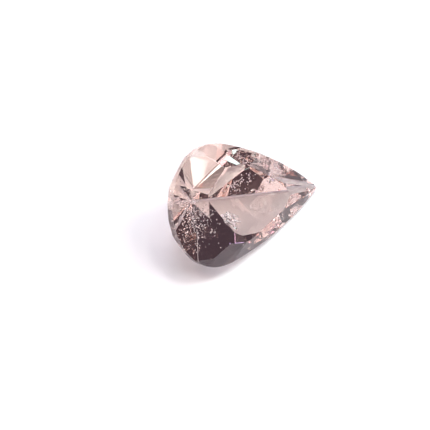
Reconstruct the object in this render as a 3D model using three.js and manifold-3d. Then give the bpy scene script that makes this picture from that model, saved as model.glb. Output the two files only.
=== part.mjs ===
// A loose pear-cut (teardrop) morganite, one solid piece of clear faceted crystal.
// Millimetres, +Z up. The stone lies as it comes to rest on a flat surface, z = 0:
// on the long pavilion facet of one flank, face up and leaning, its tip lowest.
import * as THREE from 'three';
import { mergeVertices } from 'three/addons/utils/BufferGeometryUtils.js';
import Module from 'manifold-3d';

// Outline, seen square on to the table. The origin is the centre of the head's arc,
// +X runs to the tip, and z = 0 is the girdle's upper edge.
const LENGTH = 14.5;
const WIDTH = 10.0;
const HEAD_FLATTENING = 0.83;
const FLANK_RADIUS = 23.8;
const TIP_RADIUS = 0.35;
const ARC_STEPS = 20;

// Depths, and the culet's place along the length.
const GIRDLE = 0.68;
const CROWN_HEIGHT = 1.1;
const PAVILION_DEPTH = 6.36;
const CULET_X = 1.55;

// Facets as [azimuth, slope from the girdle plane] in degrees. Each row is cut on both
// sides of the stone, except at azimuth 180, which is the head.
const CROWN_MAINS = [[61, 33.5], [95, 29], [135, 21.8], [180, 21.8]];
const CROWN_HALVES = [[51, 38.7], [71, 38.7], [84, 34.2], [105, 34.2], [124, 27], [146, 27], [168, 27]];
const STARS = [[36.3, 14.8]];
const STAR_REACH = 0.66;

// Pavilion facets that rise to the girdle's lower edge, or to this third number's share
// of the outline's distance there.
const PAVILION_HALVES = [[48.5, 57.4, 0.97], [62, 57.8, 1], [76.2, 58.4, 1], [121, 59.9, 0.974], [168, 57.8, 1]];

// The pavilion mains all pass through the culet. A main's trace on the girdle's lower
// edge lies at this share of the outline's distance; the flank main runs to the tip.
const FLANK_MAIN_AZIMUTH = 55.6;
const HEAD_MAINS = [[91.7, 0.945], [142, 0.96], [180, 1]];

// The stone lies on the flank main on its -Y side.
const REST_SIDE = -1;

const HALF_WIDTH = WIDTH / 2;
const CUTTER = 60;
const radians = THREE.MathUtils.degToRad;

// The outline's arcs: half an ellipse for the head, two long flanks and a small round tip.
const tipX = LENGTH - HEAD_FLATTENING * HALF_WIDTH - TIP_RADIUS;
const flankOffset = FLANK_RADIUS - HALF_WIDTH;
const flankReach = FLANK_RADIUS - TIP_RADIUS;
const shoulder = Math.acos((flankReach ** 2 - flankOffset ** 2 - tipX ** 2) / (2 * tipX * flankOffset));
const flankX = -flankOffset * Math.cos(shoulder);
const flankY = -flankOffset * Math.sin(shoulder);
const tipAngle = Math.atan2(-flankY, tipX - flankX);
// Where the two flanks would meet if the tip were sharp.
const apexX = flankX + Math.sqrt(FLANK_RADIUS ** 2 - flankY ** 2);

function outlineShape() {
  const shape = new THREE.Shape();
  shape.absarc(tipX, 0, TIP_RADIUS, -tipAngle, tipAngle);
  shape.absarc(flankX, flankY, FLANK_RADIUS, tipAngle, shoulder);
  shape.absarc(0, 0, HALF_WIDTH, shoulder, Math.PI / 2);
  shape.absellipse(0, 0, HEAD_FLATTENING * HALF_WIDTH, HALF_WIDTH, Math.PI / 2, 1.5 * Math.PI);
  shape.absarc(0, 0, HALF_WIDTH, 1.5 * Math.PI, 2 * Math.PI - shoulder);
  shape.absarc(flankX, -flankY, FLANK_RADIUS, -shoulder, -tipAngle);
  return shape;
}

// Distance from the origin to the outline's tangent whose normal points at this azimuth.
function outlineReach(azimuth) {
  const angle = Math.abs(azimuth);
  if (angle <= tipAngle) return tipX * Math.cos(angle) + TIP_RADIUS;
  if (angle <= shoulder) return flankX * Math.cos(angle) + flankY * Math.sin(angle) + FLANK_RADIUS;
  if (angle <= Math.PI / 2) return HALF_WIDTH;
  return HALF_WIDTH * Math.hypot(HEAD_FLATTENING * Math.cos(angle), Math.sin(angle));
}

// A facet's outward normal; side is 1 on the crown and -1 on the pavilion.
function facetNormal(azimuth, slope, side) {
  return new THREE.Vector3(
    Math.sin(slope) * Math.cos(azimuth),
    Math.sin(slope) * Math.sin(azimuth),
    side * Math.cos(slope),
  );
}

// The plane of a facet that touches the outline at the height z.
function facetAtGirdle(azimuth, slope, side, z, share = 1) {
  const normal = facetNormal(azimuth, slope, side);
  const reach = outlineReach(azimuth) * share;
  const point = new THREE.Vector3(reach * Math.cos(azimuth), reach * Math.sin(azimuth), z);
  return { normal, distance: normal.dot(point) };
}

// The plane of a pavilion main: through the culet, at this distance from it at the girdle.
function facetAtCulet(azimuth, run) {
  const slope = Math.atan2(PAVILION_DEPTH, run);
  const normal = facetNormal(azimuth, slope, -1);
  const culet = new THREE.Vector3(CULET_X, 0, -GIRDLE - PAVILION_DEPTH);
  return { normal, distance: normal.dot(culet) };
}

// A row of facets on both sides of the stone.
function mirrored(rows, facet) {
  return rows.flatMap(([azimuth, value, share]) => {
    const sides = azimuth === 180 ? [1] : [1, -1];
    return sides.map((side) => facet(side * radians(azimuth), value, share));
  });
}

function crownFacets() {
  const mains = [...CROWN_MAINS, ...CROWN_HALVES];
  return [
    ...mirrored(mains, (azimuth, slope) => facetAtGirdle(azimuth, radians(slope), 1, 0)),
    ...mirrored(STARS, (azimuth, slope) =>
      facetAtGirdle(azimuth, radians(slope), 1, CROWN_HEIGHT, STAR_REACH)),
  ];
}

function flankMain(side) {
  const azimuth = side * radians(FLANK_MAIN_AZIMUTH);
  return facetAtCulet(azimuth, (apexX - CULET_X) * Math.cos(azimuth));
}

function pavilionFacets() {
  return [
    flankMain(1),
    flankMain(-1),
    ...mirrored(HEAD_MAINS, (azimuth, share) =>
      facetAtCulet(azimuth, share * (outlineReach(azimuth) - CULET_X * Math.cos(azimuth)))),
    ...mirrored(PAVILION_HALVES, (azimuth, slope, share) =>
      facetAtGirdle(azimuth, radians(slope), -1, -GIRDLE, share)),
  ];
}

const wasm = await Module();
wasm.setup();

function toSolid(geometry) {
  geometry.deleteAttribute('normal');
  geometry.deleteAttribute('uv');
  const merged = mergeVertices(geometry);
  return new wasm.Manifold(new wasm.Mesh({
    numProp: 3,
    vertProperties: new Float32Array(merged.attributes.position.array),
    triVerts: new Uint32Array(merged.index.array),
  }));
}

// A block whose near face lies on the facet's plane, to take away what stands outside it.
function cutter({ normal, distance }) {
  const block = new THREE.BoxGeometry(CUTTER, CUTTER, CUTTER);
  const turn = new THREE.Quaternion().setFromUnitVectors(new THREE.Vector3(0, 0, 1), normal);
  block.applyQuaternion(turn);
  block.translate(...normal.clone().multiplyScalar(distance + CUTTER / 2).toArray());
  return toSolid(block);
}

// The rough outline, from the table down past the culet, cut to every facet in turn.
function stoneGeometry() {
  const rough = new THREE.ExtrudeGeometry(outlineShape(), {
    depth: CROWN_HEIGHT + GIRDLE + PAVILION_DEPTH + 1,
    bevelEnabled: false,
    curveSegments: ARC_STEPS,
  });
  rough.translate(0, 0, -GIRDLE - PAVILION_DEPTH - 1);
  let stone = toSolid(rough);
  for (const facet of [...crownFacets(), ...pavilionFacets()]) {
    stone = stone.subtract(cutter(facet));
  }
  const cut = stone.getMesh();
  const geometry = new THREE.BufferGeometry();
  geometry.setAttribute('position', new THREE.BufferAttribute(cut.vertProperties, 3));
  geometry.setIndex(new THREE.BufferAttribute(cut.triVerts, 1));
  const faceted = geometry.toNonIndexed();
  faceted.computeVertexNormals();
  return faceted;
}

// Turn the resting facet face down, then the stone's length along +X in plan.
function restingTurn() {
  const down = new THREE.Vector3(0, 0, -1);
  const roll = new THREE.Quaternion().setFromUnitVectors(flankMain(REST_SIDE).normal, down);
  const length = new THREE.Vector3(1, 0, 0).applyQuaternion(roll);
  const yaw = new THREE.Quaternion().setFromAxisAngle(down, Math.atan2(length.y, length.x));
  return yaw.multiply(roll);
}

const morganite = new THREE.MeshStandardMaterial({
  color: 0xe6c3b4,
  roughness: 0.04,
  metalness: 0,
  transparent: true,
  opacity: 0.6,
});

const stone = new THREE.Mesh(stoneGeometry(), morganite);
stone.name = 'pear_cut_stone';
stone.quaternion.copy(restingTurn());

const group = new THREE.Group();
group.add(stone);

// The origin is the middle of the box's underside, on the surface that the stone lies on.
const box = new THREE.Box3().setFromObject(group, true);
const middle = box.getCenter(new THREE.Vector3());
stone.position.set(-middle.x, -middle.y, -box.min.z);

export default group;
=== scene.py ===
"""A loose pear-cut morganite lying on a white sheet, in soft studio light. Metres, +Z up."""
import math
import random

import bmesh
import bpy
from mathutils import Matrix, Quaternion, Vector, noise


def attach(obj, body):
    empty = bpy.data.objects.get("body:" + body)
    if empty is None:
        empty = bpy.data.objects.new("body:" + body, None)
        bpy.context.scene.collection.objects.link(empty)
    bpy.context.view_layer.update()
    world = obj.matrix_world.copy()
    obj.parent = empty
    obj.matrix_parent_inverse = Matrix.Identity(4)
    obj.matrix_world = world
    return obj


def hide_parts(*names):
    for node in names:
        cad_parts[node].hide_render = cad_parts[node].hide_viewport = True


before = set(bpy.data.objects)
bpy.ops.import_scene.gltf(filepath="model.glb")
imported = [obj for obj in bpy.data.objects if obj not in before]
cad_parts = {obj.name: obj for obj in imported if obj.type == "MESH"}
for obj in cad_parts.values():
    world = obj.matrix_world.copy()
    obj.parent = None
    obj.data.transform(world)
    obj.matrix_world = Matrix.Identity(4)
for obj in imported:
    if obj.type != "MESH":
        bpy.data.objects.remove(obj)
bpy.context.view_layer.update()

STONE = "pear_cut_stone"
BODY = "root"
MM = 1e-3

# Camera: azimuth, elevation and roll in degrees, distance in metres, and the point it aims at.
CAMERA_AZIMUTH = -24.0
CAMERA_ELEVATION = 59.1
CAMERA_ROLL = -4.5
CAMERA_DISTANCE = 0.125
CAMERA_AIM = Vector((-0.00287, -0.00133, 0.0047))
CAMERA_RANGE = (0.005, 10)
PIXELS_PER_MM = 12.47
FRAME_PIXELS = 430
SENSOR_MM = 36.0

# The white sheet's width, colour and roughness, and the film of air under the resting facet.
SHEET_WIDTH = 1.2
SHEET_COLOR = (0.88, 0.88, 0.88, 1)
SHEET_ROUGHNESS = 0.7
FLOOR_GAP = 3e-5

# Clear crystal: its surface, and the pale brownish pink that it takes on with depth.
CRYSTAL_COLOR = (1.0, 0.985, 0.98, 1)
CRYSTAL_IOR = 1.58
DEPTH_COLOR = (0.86, 0.56, 0.45, 1)
DEPTH_DENSITY = 50.0

# The stone's mesh: vertices closer than this are one, and faces flatter than this are one facet.
MERGE = 1e-6
FLAT_DEGREES = 0.05
# The table is the largest face whose normal rises by at least this much.
TABLE_RISE = 0.3
# Worn facet edges: the width of the flat along an edge, that of the long keel from the culet
# to the tip, the shortest edge that has one, and how near to a cut a vertex lies on it.
EDGE_FLAT = 3e-5
KEEL_FLAT = 1.6e-4
EDGE_MINIMUM = 4e-4
CUT_NEARNESS = 1e-8
# The girdle's wall stands square to the table: the cosine up to which a face belongs to it.
GIRDLE_LEAN = 0.1

# Cracks inside the stone: the air gap, the height and length of their crumples, the share by
# which their outlines vary, how quickly they vary, and the mesh fineness. Then each one's
# middle in mm, the way it faces, and its length and width in mm.
FEATHER_GAP = 4e-5
FEATHER_RELIEF = 1.2e-4
FEATHER_CRUMPLE = 2.5e-4
FEATHER_RAGGEDNESS = 0.7
FEATHER_QUICKNESS = 2
FEATHER_FINENESS = 4
FEATHERS = [
    [(-1.9, -1.4, 3.6), (-60, 30), (2.2, 1.5)],
    [(3.2, 0.9, 2.9), (201, 66), (1.7, 1.4)],
    [(-4.5, 0.9, 4.9), (156, 30), (1.6, 2.0)],
]
# A void is a small ball: the mesh fineness, a veil's least and greatest radius in mm, how many
# radii its middle keeps from the outer faces, and the smallest outer face that counts, in m2.
VOID_FINENESS = 2
VOID_RADII = (0.02, 0.06)
VOID_CLEARANCE = 2
WALL_AREA = 1e-8
# Veils of voids: the standard deviations in a veil's extent, and the seed. Then each veil's
# middle in mm, the way it faces, its length, width and thickness in mm, and how many voids
# are tried.
VEIL_DEVIATIONS = 4
VEIL_SEED = 7
VEILS = [
    [(-4.6, -0.6, 4.6), (-14, 52), (2.8, 3.6, 1.2), 320],
    [(-5.0, 0.2, 6.0), (-14, 55), (2.0, 2.6, 1.0), 140],
    [(3.2, 0.9, 2.9), (21, 63), (1.9, 1.5, 0.8), 180],
    [(-0.05, 1.2, 4.0), (-2, 53), (3.2, 1.0, 0.6), 90],
]
# Single bubbles, as [x, y, z, radius] in mm.
BUBBLES = [
    [-3.9, -2.4, 4.6, 0.08],
    [-3.6, -2.5, 4.5, 0.08],
    [-3.7, -2.0, 4.4, 0.07],
    [-1.7, -3.7, 2.6, 0.04],
    [-2.5, -3.9, 1.7, 0.04],
    [-3.5, -3.9, 2.5, 0.04],
    [-4.4, -3.9, 2.5, 0.04],
]

# The dim surround, and the soft round lights in it as [azimuth, elevation, inner and outer
# radius in degrees, colour, strength]. Most rows are the rounded result of a least-squares
# fit to the photo's light, made by another program. Six of them and the surround were set or
# changed apart from that fit.
SURROUND_COLOR = (1.0, 0.7, 0.9)
SURROUND_STRENGTH = 0.07
SOFT_LIGHTS = [
    [65, 64, 2, 3.5, (0.95, 1.0, 0.95), 34.0],
    [66, 73, 2, 4, (0.92, 1.0, 0.95), 44.0],
    [96, 83, 4, 6, (0.85, 0.97, 1.0), 9.0],
    [102, 73, 4, 7, (0.95, 0.93, 1.0), 10.5],
    [276, 83, 4, 6, (0.92, 0.96, 1.0), 9.3],
    [-24, 83, 4, 6, (0.85, 0.98, 1.0), 12.0],
    [32, 50, 5, 8, (1.0, 0.88, 0.84), 8.5],
    [53, 36, 7, 11, (0.95, 0.87, 1.0), 7.6],
    [156, 90, 3, 5, (0.65, 0.93, 1.0), 8.0],
    [138, 73, 4, 7, (0.85, 0.8, 1.0), 7.3],
    [77, 50, 5, 8, (1.0, 0.83, 0.82), 7.0],
    [282, 73, 4, 7, (1.0, 0.6, 0.55), 8.0],
    [246, 73, 4, 7, (1.0, 0.8, 0.8), 12.0],
    [30, 73, 3, 6, (0.88, 1.0, 0.95), 6.0],
    [79, 36, 7, 11, (0.7, 1.0, 1.0), 4.7],
    [53, 62, 4, 8, (1.0, 0.8, 0.8), 4.8],
    [79, 62, 4, 8, (0.5, 0.82, 1.0), 5.0],
    [145, 50, 5, 8, (1.0, 0.65, 0.95), 3.9],
    [55, 50, 5, 8, (1.0, 0.8, 0.7), 3.7],
    [302, 50, 5, 8, (1.0, 0.75, 0.82), 2.9],
    [280, 50, 5, 8, (0.6, 0.97, 1.0), 2.2],
    [156, 36, 7, 11, (0.7, 0.55, 1.0), 2.3],
]

# How many times light is followed through a facet or off one.
BOUNCES = 24


def direction(azimuth, elevation):
    """Unit vector to a place seen from the stone: azimuth 0 is -Y, where 90 is +X."""
    a, e = math.radians(azimuth), math.radians(elevation)
    return Vector((math.sin(a) * math.cos(e), -math.cos(a) * math.cos(e), math.sin(e)))


def link(name, data):
    thing = bpy.data.objects.new(name, data)
    bpy.context.scene.collection.objects.link(thing)
    return thing


def add_camera():
    data = bpy.data.cameras.new("camera")
    data.sensor_width = SENSOR_MM
    data.lens = SENSOR_MM * PIXELS_PER_MM * CAMERA_DISTANCE / MM / FRAME_PIXELS
    data.clip_start, data.clip_end = CAMERA_RANGE
    camera = link("camera", data)
    back = direction(CAMERA_AZIMUTH, CAMERA_ELEVATION)
    roll = Quaternion(back, math.radians(CAMERA_ROLL))
    camera.location = CAMERA_AIM + back * CAMERA_DISTANCE
    camera.rotation_euler = (roll @ back.to_track_quat("Z", "Y")).to_euler()
    bpy.context.scene.camera = camera


def node_material(name):
    material = bpy.data.materials.new(name)
    material.use_nodes = True
    tree = material.node_tree
    tree.nodes.clear()
    return material, tree, tree.nodes.new("ShaderNodeOutputMaterial")


def crystal_material():
    material, tree, out = node_material("morganite_polished")
    shader = tree.nodes.new("ShaderNodeBsdfPrincipled")
    shader.inputs["Base Color"].default_value = CRYSTAL_COLOR
    shader.inputs["Roughness"].default_value = 0.0
    shader.inputs["IOR"].default_value = CRYSTAL_IOR
    shader.inputs["Transmission Weight"].default_value = 1.0
    absorb = tree.nodes.new("ShaderNodeVolumeAbsorption")
    absorb.inputs["Color"].default_value = DEPTH_COLOR
    absorb.inputs["Density"].default_value = DEPTH_DENSITY
    tree.links.new(shader.outputs["BSDF"], out.inputs["Surface"])
    tree.links.new(absorb.outputs["Volume"], out.inputs["Volume"])
    return material


def soften_edges(mesh):
    """Cut a narrow flat along every long edge, as wear leaves, and a wider one along the keel."""
    planes = []
    keel = max(mesh.edges, key=lambda edge: edge.calc_length())
    for edge in mesh.edges:
        width = KEEL_FLAT if edge == keel else EDGE_FLAT
        if len(edge.link_faces) != 2 or edge.calc_length() < EDGE_MINIMUM or edge.smooth:
            continue
        first, second = (face.normal for face in edge.link_faces)
        normal = (first + second).normalized()
        middle = (edge.verts[0].co + edge.verts[1].co) / 2
        if max((vertex.co - middle).dot(normal) for vertex in mesh.verts) > MERGE:
            continue
        depth = width / 2 * math.tan(first.angle(second) / 2)
        planes.append((middle - normal * depth, normal))
    for point, normal in planes:
        geometry = mesh.verts[:] + mesh.edges[:] + mesh.faces[:]
        cut = bmesh.ops.bisect_plane(mesh, geom=geometry, dist=CUT_NEARNESS, plane_co=point,
                                     plane_no=normal, clear_outer=True)
        rim = [item for item in cut["geom_cut"] if isinstance(item, bmesh.types.BMEdge)]
        if rim:
            bmesh.ops.contextual_create(mesh, geom=rim)


def smooth_girdle(mesh, table_normal):
    """The girdle's wall is one rounded surface, and every other face is flat."""
    for face in mesh.faces:
        face.smooth = abs(face.normal.dot(table_normal)) < GIRDLE_LEAN
    for edge in mesh.edges:
        edge.smooth = all(face.smooth for face in edge.link_faces)


def add_feather(mesh, center, facing, size):
    """An internal crack: a thin, crumpled, air-filled lens with a ragged outline."""
    made = bmesh.ops.create_icosphere(mesh, subdivisions=FEATHER_FINENESS, radius=1.0)
    turn = direction(*facing).to_track_quat("Z", "Y").to_matrix()
    middle = Vector(center) * MM
    for vertex in made["verts"]:
        x, y, z = vertex.co
        way = Vector((x, y, 0)).normalized()
        reach = 1 + FEATHER_RAGGEDNESS * noise.noise(FEATHER_QUICKNESS * way + middle / MM)
        flat = Vector((x * size[0], y * size[1], 0)) * reach * MM / 2
        rise = noise.noise((flat + middle) / FEATHER_CRUMPLE) * FEATHER_RELIEF
        rise += z * FEATHER_GAP / 2
        vertex.co = middle + turn @ (flat + Vector((0, 0, rise)))
    faces = {face for vertex in made["verts"] for face in vertex.link_faces}
    bmesh.ops.reverse_faces(mesh, faces=list(faces))


def unit_ball():
    """A ball of radius 1, as its points and its faces' corners."""
    ball = bmesh.new()
    bmesh.ops.create_icosphere(ball, subdivisions=VOID_FINENESS, radius=1.0)
    points = [vertex.co.copy() for vertex in ball.verts]
    faces = [[vertex.index for vertex in face.verts] for face in ball.faces]
    ball.free()
    return points, faces


def add_void(mesh, ball, place, radius):
    """A small ball whose faces look inwards."""
    points, faces = ball
    corners = [mesh.verts.new(place + point * radius) for point in points]
    for face in faces:
        mesh.faces.new([corners[index] for index in reversed(face)])


def add_veil(mesh, ball, walls, chance, center, facing, size, count):
    """A cloud of tiny voids, all of them clear of the stone's outer faces."""
    turn = direction(*facing).to_track_quat("Z", "Y").to_matrix()
    for _ in range(count):
        way = Vector([chance.gauss(0, extent / VEIL_DEVIATIONS) for extent in size]) * MM
        place = Vector(center) * MM + turn @ way
        radius = chance.uniform(*VOID_RADII) * MM
        if max(normal.dot(place - point) for normal, point in walls) < -VOID_CLEARANCE * radius:
            add_void(mesh, ball, place, radius)


def add_inclusions(mesh):
    walls = [(face.normal.copy(), face.verts[0].co.copy()) for face in mesh.faces
             if face.calc_area() > WALL_AREA]
    chance = random.Random(VEIL_SEED)
    ball = unit_ball()
    for feather in FEATHERS:
        add_feather(mesh, *feather)
    for veil in VEILS:
        add_veil(mesh, ball, walls, chance, *veil)
    for x, y, z, radius in BUBBLES:
        add_void(mesh, ball, Vector((x, y, z)) * MM, radius * MM)


def add_stone():
    """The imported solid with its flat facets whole, its edges worn and its inclusions added."""
    mesh = bmesh.new()
    mesh.from_mesh(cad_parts[STONE].data)
    bmesh.ops.remove_doubles(mesh, verts=mesh.verts, dist=MERGE)
    bmesh.ops.dissolve_limit(mesh, angle_limit=math.radians(FLAT_DEGREES),
                             verts=mesh.verts, edges=mesh.edges)
    mesh.normal_update()
    upper = [face for face in mesh.faces if face.normal.z > TABLE_RISE]
    table_normal = max(upper, key=lambda face: face.calc_area()).normal.copy()
    smooth_girdle(mesh, table_normal)
    soften_edges(mesh)
    bmesh.ops.recalc_face_normals(mesh, faces=mesh.faces)
    smooth_girdle(mesh, table_normal)
    add_inclusions(mesh)
    data = bpy.data.meshes.new("faceted_stone")
    mesh.to_mesh(data)
    mesh.free()
    data.materials.append(crystal_material())
    piece = link("faceted_stone", data)
    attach(piece, BODY)
    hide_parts(STONE)


def add_floor():
    material, tree, out = node_material("white_sheet")
    shader = tree.nodes.new("ShaderNodeBsdfPrincipled")
    shader.inputs["Base Color"].default_value = SHEET_COLOR
    shader.inputs["Roughness"].default_value = SHEET_ROUGHNESS
    tree.links.new(shader.outputs["BSDF"], out.inputs["Surface"])
    bpy.ops.mesh.primitive_plane_add(size=SHEET_WIDTH, location=(0, 0, -FLOOR_GAP))
    floor = bpy.context.object
    floor.name = "floor"
    floor.data.materials.append(material)


def scaled(color, strength):
    return [channel * strength for channel in color]


def add_lamp(tree, place, total, toward, radii, glow):
    """One soft round lamp, added to what the surround gives so far."""
    inner, outer = radii
    dot = tree.nodes.new("ShaderNodeVectorMath")
    dot.operation = "DOT_PRODUCT"
    dot.inputs[1].default_value = toward
    ramp = tree.nodes.new("ShaderNodeMapRange")
    ramp.interpolation_type = "SMOOTHSTEP"
    ramp.inputs["From Min"].default_value = math.cos(math.radians(outer))
    ramp.inputs["From Max"].default_value = math.cos(math.radians(inner))
    tint = tree.nodes.new("ShaderNodeVectorMath")
    tint.operation = "SCALE"
    tint.inputs[0].default_value = glow
    add = tree.nodes.new("ShaderNodeVectorMath")
    add.operation = "ADD"
    tree.links.new(place.outputs["Generated"], dot.inputs[0])
    tree.links.new(dot.outputs["Value"], ramp.inputs["Value"])
    tree.links.new(ramp.outputs["Result"], tint.inputs["Scale"])
    tree.links.new(total, add.inputs[0])
    tree.links.new(tint.outputs["Vector"], add.inputs[1])
    return add.outputs["Vector"]


def add_surround():
    world = bpy.data.worlds.new("studio")
    world.use_nodes = True
    tree = world.node_tree
    tree.nodes.clear()
    out = tree.nodes.new("ShaderNodeOutputWorld")
    background = tree.nodes.new("ShaderNodeBackground")
    place = tree.nodes.new("ShaderNodeTexCoord")
    dim = tree.nodes.new("ShaderNodeRGB")
    dim.outputs[0].default_value = (*scaled(SURROUND_COLOR, SURROUND_STRENGTH), 1)
    total = dim.outputs[0]
    for azimuth, elevation, inner, outer, color, strength in SOFT_LIGHTS:
        total = add_lamp(tree, place, total, direction(azimuth, elevation),
                         (inner, outer), scaled(color, strength))
    tree.links.new(total, background.inputs["Color"])
    tree.links.new(background.outputs["Background"], out.inputs["Surface"])
    bpy.context.scene.world = world


add_camera()
add_floor()
add_surround()
add_stone()

scene = bpy.context.scene
scene.view_settings.view_transform = "Standard"
scene.cycles.max_bounces = BOUNCES
scene.cycles.transmission_bounces = BOUNCES
scene.cycles.glossy_bounces = BOUNCES
